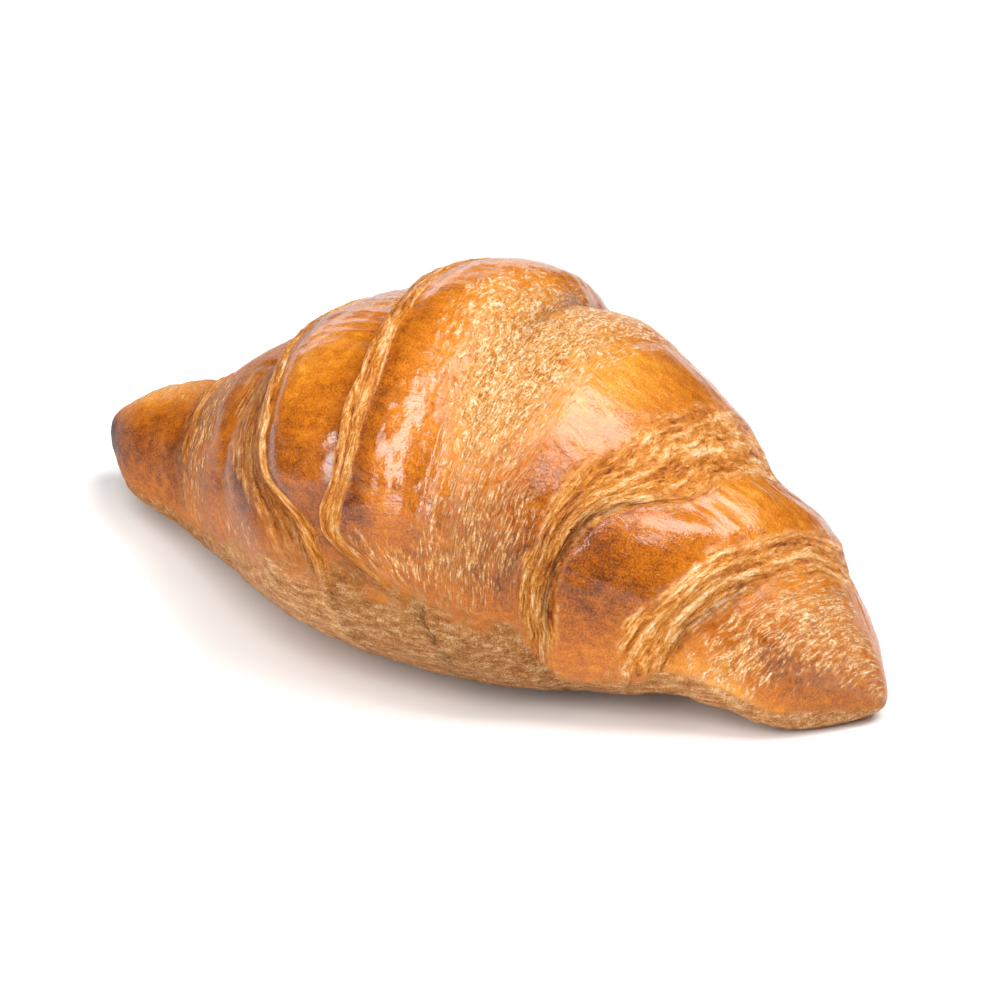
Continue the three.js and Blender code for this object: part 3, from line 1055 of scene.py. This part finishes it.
@dataclass
class CrustRelief:
    """The small relief of the crust, which Geometry Nodes raise on the dough.

    Attributes:
        lump_size: Distance between the soft lumps of the dough, in millimetres.
        lump_height: Their height.
        blister_size: Distance between the blisters under the egg wash.
        blister_height: Their height.
        ridge_spacing: Distance between the ridges of opened layers.
        ridge_height: Their height.
        thread_spacing: Distance between the threads of stretched dough.
        thread_height: Their height.
        crumb_size: Distance between the crumbs of the belly.
        crumb_height: Their height.
        thread_slowness: How much slower threads and ridges change along a wrap than across.
        flakes_per_area: Flakes on each square metre of opened layers.
        flake_length: Length of a loose flake.
        flake_width: Its width, as a share of its length.
        flake_thickness: Its thickness, as a share of its length.
        flake_curl: How much it curls down, for each metre squared from its middle.
        seed: Seed for where the flakes lie.
    """

    lump_size: float = 11.0
    lump_height: float = 1.2
    blister_size: float = 2.6
    blister_height: float = 0.35
    ridge_spacing: float = 1.7
    ridge_height: float = 1.7
    thread_spacing: float = 2.6
    thread_height: float = 2.2
    crumb_size: float = 2.8
    crumb_height: float = 1.1
    thread_slowness: float = 0.14
    flakes_per_area: float = 25000.0
    flake_length: float = 1.8
    flake_width: float = 0.4
    flake_thickness: float = 0.12
    flake_curl: float = 220.0
    seed: int = 5

    def tree(self, material: bpy.types.Material) -> bpy.types.NodeTree:
        """Builds the Geometry Nodes tree.

        Args:
            material: The crust's material.

        Returns:
            The tree, with one input for each size.
        """
        tree = bpy.data.node_groups.new("crust_relief", "GeometryNodeTree")
        tree.interface.new_socket("Geometry", in_out="INPUT", socket_type="NodeSocketGeometry")
        for name in (*SIZE_INPUTS, "Flakes Per Area"):
            tree.interface.new_socket(name, in_out="INPUT", socket_type="NodeSocketFloat")
        tree.interface.new_socket("Seed", in_out="INPUT", socket_type="NodeSocketInt")
        tree.interface.new_socket("Geometry", in_out="OUTPUT", socket_type="NodeSocketGeometry")
        add = partial(add_node, tree)
        given = add("NodeGroupInput").node.outputs
        place = add("GeometryNodeInputPosition")
        normal = add("GeometryNodeInputNormal")
        across, glaze, layers, stretch, belly = (
            add("GeometryNodeInputNamedAttribute", name) for name in
            ("across", "glaze", "layers", "stretch", "belly"))
        apart = add("ShaderNodeSeparateXYZ", place).node.outputs
        clear_of_tray = add(RANGE, apart["Z"], 0.4 * MM, 3 * MM)
        along_wrap = add(COMBINE, add(MATH, across, MM, operation="MULTIPLY"),
                         add(MATH, apart["Y"], self.thread_slowness, operation="MULTIPLY"),
                         add(MATH, apart["Z"], self.thread_slowness, operation="MULTIPLY"))
        # Each kind of relief: what it follows, its size and height, and where it is.
        kinds = (
            (place, "Lump Size", "Lump Height", 1.0),
            (place, "Blister Size", "Blister Height", glaze),
            (along_wrap, "Ridge Spacing", "Ridge Height", layers),
            (along_wrap, "Thread Spacing", "Thread Height", stretch),
            (place, "Crumb Size", "Crumb Height", belly),
        )
        relief = 0.0
        for follows, size, tall, where in kinds:
            scale = add(MATH, 1.0, given[size], operation="DIVIDE")
            pattern = add(NOISE, follows, None, scale, 3, 0.55)
            pattern = add(MATH, pattern, -0.52, operation="ADD")
            pattern = add(MATH, pattern, given[tall], operation="MULTIPLY")
            relief = add(MATH, pattern, where, relief, operation="MULTIPLY_ADD")
        relief = add(MATH, relief, clear_of_tray, operation="MULTIPLY")
        offset = add(VECTOR, normal, named={"Scale": relief}, operation="SCALE")
        crust = add("GeometryNodeSetPosition", given["Geometry"], None, None, offset)
        flakes = self.flakes(tree, crust, given, layers)
        whole = add("GeometryNodeJoinGeometry", crust)
        tree.links.new(flakes, whole.node.inputs[0])
        real = add("GeometryNodeRealizeInstances", whole)
        dressed = add("GeometryNodeSetMaterial", real, None, material)
        add("NodeGroupOutput", dressed)
        return tree

    def flakes(self, tree: bpy.types.NodeTree, crust: bpy.types.NodeSocket,
               given: bpy.types.bpy_prop_collection,
               layers: bpy.types.NodeSocket) -> bpy.types.NodeSocket:
        """Adds the nodes that scatter small loose flakes on the opened layers.

        Args:
            tree: The tree.
            crust: The relief's geometry.
            given: The tree's inputs.
            layers: How much the layers have opened.

        Returns:
            The flakes, as instances.
        """
        add = partial(add_node, tree)
        opened = add(RANGE, layers, 0.6, 0.9)
        density = add(MATH, opened, given["Flakes Per Area"], operation="MULTIPLY")
        spots = add("GeometryNodeDistributePointsOnFaces", named={
            "Mesh": crust, "Density": density, "Seed": given["Seed"]}).node.outputs
        long = given["Flake Length"]
        wide = add(MATH, long, self.flake_width, operation="MULTIPLY")
        thin = add(MATH, long, self.flake_thickness, operation="MULTIPLY")
        block = add("GeometryNodeMeshCube", add(COMBINE, long, wide, thin), 4, 3, 2)
        at = add("ShaderNodeSeparateXYZ", add("GeometryNodeInputPosition")).node.outputs
        bend = add(MATH, at["X"], at["X"], operation="MULTIPLY")
        bend = add(MATH, bend, -self.flake_curl, operation="MULTIPLY")
        flake = add("GeometryNodeSetPosition", block, None, None, add(COMBINE, 0.0, 0.0, bend))
        for name, value in (("layers", 1.0), ("browning", 0.1)):
            flake = add("GeometryNodeStoreNamedAttribute", flake, None, name, value)
        size = add("FunctionNodeRandomValue", named={2: 0.5, 3: 1.3, "Seed": 7}, out=1)
        turn = add("FunctionNodeRandomValue", named={2: -0.5, 3: 0.5, "Seed": 8}, out=1)
        turned = add("FunctionNodeRotateRotation", spots["Rotation"],
                     add("FunctionNodeEulerToRotation", add(COMBINE, 0.15, 0.15, turn)),
                     rotation_space="LOCAL")
        return add("GeometryNodeInstanceOnPoints", named={
            "Points": spots["Points"], "Instance": flake, "Rotation": turned, "Scale": size})

    def raise_on(self, dough: bpy.types.Object, material: bpy.types.Material) -> bpy.types.Mesh:
        """Raises the relief on the dough.

        Args:
            dough: The plain dough, which is removed.
            material: The crust's material.

        Returns:
            The finished mesh.
        """
        modifier = dough.modifiers.new("crust_relief", "NODES")
        modifier.node_group = self.tree(material)
        sizes = dict(zip(SIZE_INPUTS, (
            self.lump_size, self.lump_height, self.blister_size, self.blister_height,
            self.ridge_spacing, self.ridge_height, self.thread_spacing, self.thread_height,
            self.crumb_size, self.crumb_height, self.flake_length)))
        for socket in modifier.node_group.interface.items_tree:
            if socket.in_out != "INPUT":
                continue
            if socket.name in sizes:
                modifier[socket.identifier] = sizes[socket.name] * MM
            elif socket.name == "Flakes Per Area":
                modifier[socket.identifier] = self.flakes_per_area
            elif socket.name == "Seed":
                modifier[socket.identifier] = self.seed
        graph = bpy.context.evaluated_depsgraph_get()
        mesh = bpy.data.meshes.new_from_object(dough.evaluated_get(graph))
        dough.modifiers.remove(modifier)
        bpy.data.objects.remove(dough)
        return mesh


@dataclass
class Croissant:
    """The croissant itself.

    Attributes:
        roll: Its dough.
        relief: The small relief of its crust.
        finish: The material of its crust.
    """

    roll: DoughRoll = field(default_factory=DoughRoll)
    relief: CrustRelief = field(default_factory=CrustRelief)
    finish: CrustFinish = field(default_factory=CrustFinish)

    def build(self) -> bpy.types.Object:
        """Builds and dresses the croissant and ties it to the frame.

        Returns:
            The finished piece.
        """
        low, high = (Vector(corner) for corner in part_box(NODE))
        crust = self.finish.make()
        dough = bpy.data.objects.new("dough", CrustGrid(self.roll).mesh(low, high))
        bpy.context.scene.collection.objects.link(dough)
        mesh = self.relief.raise_on(dough, crust)
        self.fit(mesh, low, high)
        piece = bpy.data.objects.new("baked_croissant", mesh)
        bpy.context.scene.collection.objects.link(piece)
        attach(piece, "root")
        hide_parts(NODE)
        triangles = sum(len(face.vertices) - 2 for face in mesh.polygons)
        LOG.info("%s: %d triangles", piece.name, triangles)
        return piece

    @staticmethod
    def fit(mesh: bpy.types.Mesh, low: Vector, high: Vector) -> None:
        """Keeps the mesh inside the CAD solid's box and standing on its floor.

        Args:
            mesh: The mesh, which is changed.
            low: The box's lowest corner.
            high: Its highest corner.
        """
        points = np.empty(len(mesh.vertices) * 3)
        mesh.vertices.foreach_get("co", points)
        points = points.reshape(-1, 3)
        lowest, highest = points.min(axis=0), points.max(axis=0)
        middle, centre = (lowest + highest) / 2, np.array((low + high) / 2)
        middle[2], centre[2] = lowest[2], low.z
        scale = np.minimum(1, np.array(high - low) / (highest - lowest))
        mesh.vertices.foreach_set("co", ((points - middle) * scale + centre).ravel())
        mesh.update()


@dataclass(frozen=True)
class Softbox:
    """A soft light.

    Attributes:
        name: Its name.
        where: Its place, in metres.
        size: Its width and height, in metres.
        power: Its power, in watts.
    """

    name: str
    where: tuple[float, float, float]
    size: tuple[float, float]
    power: float


SOFTBOXES = (
    Softbox("front_strip", (-0.10, -0.55, 0.55), (0.17, 1.3), 7.5),
    Softbox("side_softbox", (0.46, -0.39, 0.67), (0.24, 0.32), 1.4),
    Softbox("top_softbox", (0.42, 0.20, 0.97), (0.7, 0.7), 11.4),
    Softbox("rear_softbox", (-0.62, 0.80, 0.14), (0.8, 0.22), 0.9),
)


@dataclass
class Studio:
    """A white sweep of floor, soft lights and the camera.

    Attributes:
        azimuth: The camera's turn from -Y towards +X, in degrees.
        elevation: Its tilt above the floor, in degrees.
        distance: How far it is from what it is aimed at, in metres.
        lens: Its focal length, in millimetres.
        aim: What the camera and the lights are aimed at, in metres.
        floor_reach: How far the floor goes each way, in metres.
        room_light: How bright the room is.
    """

    azimuth: float = 34
    elevation: float = 27
    distance: float = 0.6
    lens: float = 128.4
    aim: tuple[float, float, float] = (0.00817, 0.00365, 0.02202)
    floor_reach: float = 6.0
    room_light: float = 0.06

    def build(self) -> None:
        """Builds the floor, the lights and the camera."""
        self.floor()
        self.world()
        for softbox in SOFTBOXES:
            self.light(softbox)
        self.camera()

    def floor(self) -> None:
        """A wide, plain white floor."""
        mesh = bpy.data.meshes.new("floor")
        reach = self.floor_reach
        corners = [(-reach, -reach, 0), (reach, -reach, 0), (reach, reach, 0), (-reach, reach, 0)]
        mesh.from_pydata(corners, [], [(0, 1, 2, 3)])
        material = bpy.data.materials.new("matt_white_floor")
        material.use_nodes = True
        shader = material.node_tree.nodes["Principled BSDF"]
        shader.inputs["Base Color"].default_value = srgb("F8F8F8")
        shader.inputs["Roughness"].default_value = 0.8
        mesh.materials.append(material)
        floor = bpy.data.objects.new("floor", mesh)
        bpy.context.scene.collection.objects.link(floor)

    def world(self) -> None:
        """A plain, evenly bright room."""
        world = bpy.data.worlds.new("studio_room")
        world.use_nodes = True
        background = world.node_tree.nodes["Background"]
        background.inputs["Color"].default_value = srgb("FFFFFF")
        background.inputs["Strength"].default_value = self.room_light
        bpy.context.scene.world = world
        bpy.context.scene.view_settings.view_transform = "Standard"

    def light(self, softbox: Softbox) -> None:
        """Adds a softbox, aimed at the croissant.

        Args:
            softbox: The softbox.
        """
        data = bpy.data.lights.new(softbox.name, "AREA")
        data.shape = "RECTANGLE"
        data.size, data.size_y = softbox.size
        data.energy = softbox.power
        lamp = bpy.data.objects.new(softbox.name, data)
        lamp.location = softbox.where
        aim = Vector(self.aim) - Vector(softbox.where)
        lamp.rotation_euler = aim.to_track_quat("-Z", "Y").to_euler()
        bpy.context.scene.collection.objects.link(lamp)

    def camera(self) -> None:
        """The camera, at a long lens from above the blunt tip's side."""
        turn, tilt = math.radians(self.azimuth), math.radians(self.elevation)
        back = Vector((math.sin(turn) * math.cos(tilt), -math.cos(turn) * math.cos(tilt),
                       math.sin(tilt)))
        data = bpy.data.cameras.new("camera")
        data.lens = self.lens
        data.clip_start = 0.01
        camera = bpy.data.objects.new("camera", data)
        camera.location = Vector(self.aim) + back * self.distance
        camera.rotation_euler = (-back).to_track_quat("-Z", "Y").to_euler()
        bpy.context.scene.collection.objects.link(camera)
        bpy.context.scene.camera = camera


def main() -> None:
    """Builds the studio and the croissant."""
    logging.basicConfig(level=logging.INFO)
    Studio().build()
    Croissant().build()


if __name__ == "__main__":
    main()
